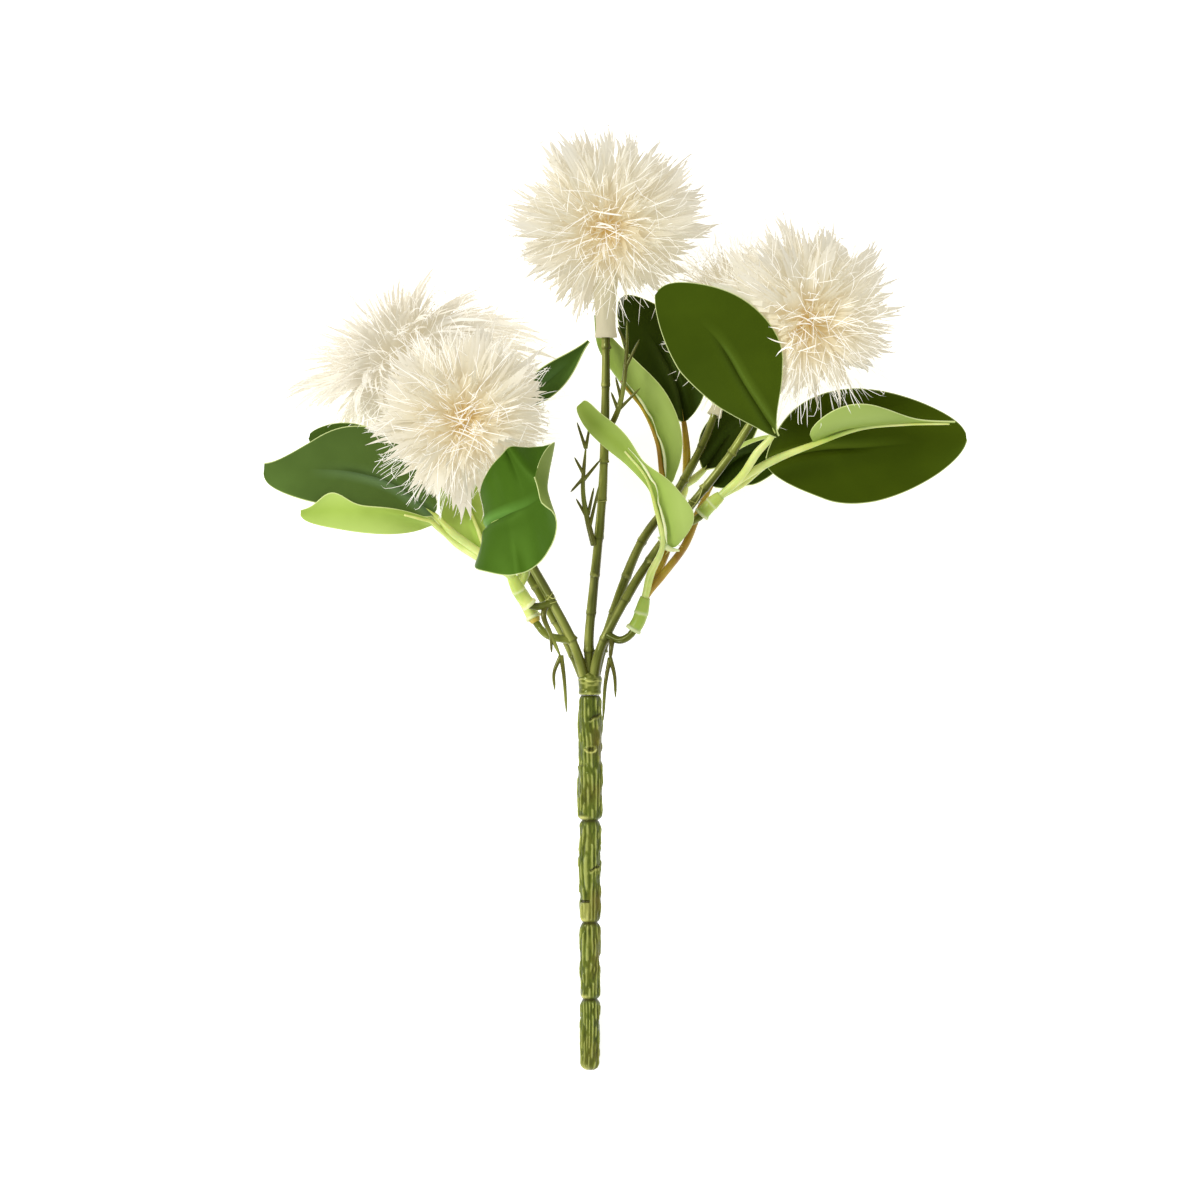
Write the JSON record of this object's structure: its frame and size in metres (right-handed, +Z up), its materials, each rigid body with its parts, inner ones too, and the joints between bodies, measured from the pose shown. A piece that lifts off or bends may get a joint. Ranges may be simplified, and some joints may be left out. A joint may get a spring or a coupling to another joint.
{
  "type": "artificial melaleuca stem",
  "caption": "Artificial melaleuca stem: a moulded stem that forks into branches with fringed fabric flower heads, needle twigs and broad fabric leaves, lying on its back.",
  "frame": {"origin": "on the surface, under the middle of the outer box of the lying stem", "axes": "+Y along the stem from its cut foot towards the flower heads, +Z up from the surface it lies on"},
  "size_m": [0.2788, 0.3748, 0.1212],
  "materials": {
    "stem_plastic": "moulded bark, satin green plastic",
    "branch_plastic": "moulded olive plastic with rings and mould lines",
    "stalk_plastic": "moulded light yellow-green plastic",
    "leaf_fabric": "coated fabric, dark green above and light green below",
    "petal_fabric": "frayed cream fabric strips with a golden middle"
  },
  "bodies": {
    "root": {"main_stem": "stem_plastic", "stem_fork": "branch_plastic", "stalk_left_upper": "stalk_plastic", "stalk_left_lower": "stalk_plastic", "stalk_right_lower": "stalk_plastic", "stalk_right_upper": "stalk_plastic", "stalk_rear": "stalk_plastic", "leaf_right_top": "leaf_fabric", "leaf_right_outer": "leaf_fabric", "leaf_right_arched": "leaf_fabric", "leaf_right_shaded": "leaf_fabric", "leaf_middle_twisted": "leaf_fabric", "leaf_middle_curved": "leaf_fabric", "leaf_top_rear": "leaf_fabric", "leaf_left_rear": "leaf_fabric", "leaf_left_outer": "leaf_fabric", "leaf_left_low": "leaf_fabric", "leaf_left_upper": "leaf_fabric", "leaf_left_inner": "leaf_fabric", "leaf_left_front": "leaf_fabric", "leaf_right_rear": "leaf_fabric", "bloom_top": "petal_fabric", "bloom_left_front": "petal_fabric", "bloom_left_rear": "petal_fabric", "bloom_right_front": "petal_fabric", "bloom_right_rear": "petal_fabric"}
  },
  "joints": []
}
